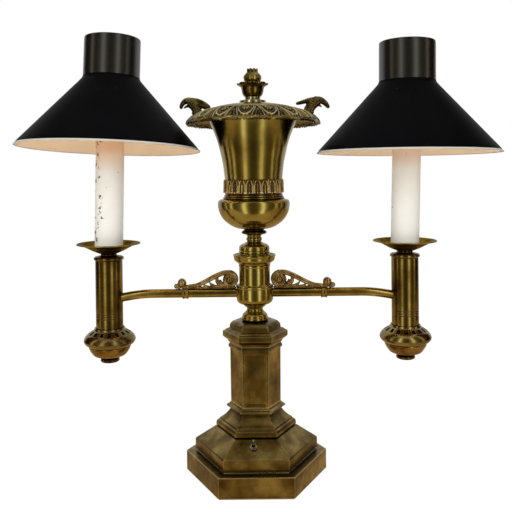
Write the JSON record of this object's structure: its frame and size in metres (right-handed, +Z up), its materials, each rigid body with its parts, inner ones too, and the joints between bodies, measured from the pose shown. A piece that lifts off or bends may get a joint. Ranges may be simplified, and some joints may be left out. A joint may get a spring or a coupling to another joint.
{
  "type": "argand lamp",
  "caption": "Two-light table lamp in antique brass: six-sided base, covered urn, two arms with perforated burners, electric candles and black conical shades.",
  "frame": {"origin": "middle of the felt's underside, on the axis of the six-sided base", "axes": "+X along the right arm, seen from the front; +Y to the back; +Z up"},
  "size_m": [0.5484, 0.209, 0.4987],
  "materials": {
    "brass": "polished brass aged to an olive brown in its hollows",
    "base_brass": "satin cast brass, browner and duller than the urn",
    "dark_brass": "brass darkened almost to bronze",
    "pale_metal": "pale plated metal",
    "steel": "zinc plated steel",
    "black_paint": "satin black enamel outside, cream inside",
    "black_plastic": "moulded phenolic",
    "white_sleeve": "matt white candle sleeve",
    "frosted_glass": "frosted bulb glass",
    "green_felt": "pressed felt",
    "cloth_lead": "braided cotton over wire"
  },
  "bodies": {
    "root": {"base_felt": "green_felt", "base_plinth": "base_brass", "base_step": "base_brass", "cord_bushing": "black_plastic", "switch_body": "black_plastic", "switch_nut": "steel", "pedestal_foot": "base_brass", "pedestal_column": "base_brass", "pedestal_cap": "base_brass", "neck_baluster": "brass", "tie_rod": "steel", "rod_nut_base": "steel", "rod_nut_hub": "steel", "hub_drum": "brass", "hub_flange": "brass", "hub_dome": "brass", "urn_stem": "brass", "stem_washer": "dark_brass", "urn_bowl": "brass", "urn_rod": "steel", "urn_nut": "steel", "urn_band": "brass", "urn_body": "brass", "urn_rim": "brass", "eagle_head_left": "brass", "arm_left": "brass", "scroll_left": "brass", "strap_left": "brass", "lead_left": "cloth_lead", "burner_tube_left": "brass", "air_gallery_left": "brass", "drip_dish_left": "brass", "socket_nipple_left": "steel", "socket_left": "black_plastic", "candle_sleeve_left": "white_sleeve", "eagle_head_right": "brass", "arm_right": "brass", "scroll_right": "brass", "strap_right": "brass", "lead_right": "cloth_lead", "burner_tube_right": "brass", "air_gallery_right": "brass", "drip_dish_right": "brass", "socket_nipple_right": "steel", "socket_right": "black_plastic", "candle_sleeve_right": "white_sleeve"},
    "toggle": {"switch_lever": "steel"},
    "lid": {"urn_lid": "brass", "finial_collar": "pale_metal", "finial_cup": "dark_brass", "finial_bud": "brass", "finial_stud": "steel"},
    "cup_left": {"drip_cup_left": "brass"},
    "cup_right": {"drip_cup_right": "brass"},
    "lamp_left": {"bulb_left": "frosted_glass"},
    "clip_left": {"bulb_clip_left": "steel"},
    "shade_left": {"shade_left": "black_paint"},
    "lamp_right": {"bulb_right": "frosted_glass"},
    "clip_right": {"bulb_clip_right": "steel"},
    "shade_right": {"shade_right": "black_paint"}
  },
  "joints": [
    {"name": "switch_tilt", "type": "hinge", "parent": "root", "child": "toggle", "pos_m": [-0.003, -0.04883, 0.04693], "axis": [1, 0, 0], "range_deg": [0, 28]},
    {"name": "lid_lift", "type": "slide", "parent": "root", "child": "lid", "axis": [0, 0, 1], "range_m": [0, 0.05]},
    {"name": "cup_drop_left", "type": "slide", "parent": "root", "child": "cup_left", "axis": [0, 0, -1], "range_m": [0, 0.04]},
    {"name": "cup_drop_right", "type": "slide", "parent": "root", "child": "cup_right", "axis": [0, 0, -1], "range_m": [0, 0.04]},
    {"name": "bulb_turn_left", "type": "hinge", "parent": "root", "child": "lamp_left", "pos_m": [-0.1672, 0, 0.2505], "axis": [0.0262, 0, 0.9997], "continuous": true},
    {"name": "bulb_turn_right", "type": "hinge", "parent": "root", "child": "lamp_right", "pos_m": [0.1728, 0, 0.2505], "axis": [0.0262, 0, 0.9997], "continuous": true},
    {"name": "clip_lift_left", "type": "slide", "parent": "lamp_left", "child": "clip_left", "axis": [0.0262, 0, 0.9997], "range_m": [0, 0.005]},
    {"name": "clip_lift_right", "type": "slide", "parent": "lamp_right", "child": "clip_right", "axis": [0.0262, 0, 0.9997], "range_m": [0, 0.025]},
    {"name": "shade_turn_left", "type": "hinge", "parent": "clip_left", "child": "shade_left", "pos_m": [-0.16162, 0.00152, 0.45159], "axis": [0.0349, 0.0419, 0.9985], "continuous": true},
    {"name": "shade_turn_right", "type": "hinge", "parent": "clip_right", "child": "shade_right", "pos_m": [0.17716, 0.00013, 0.44365], "axis": [0.007, 0.0035, 1], "continuous": true}
  ]
}
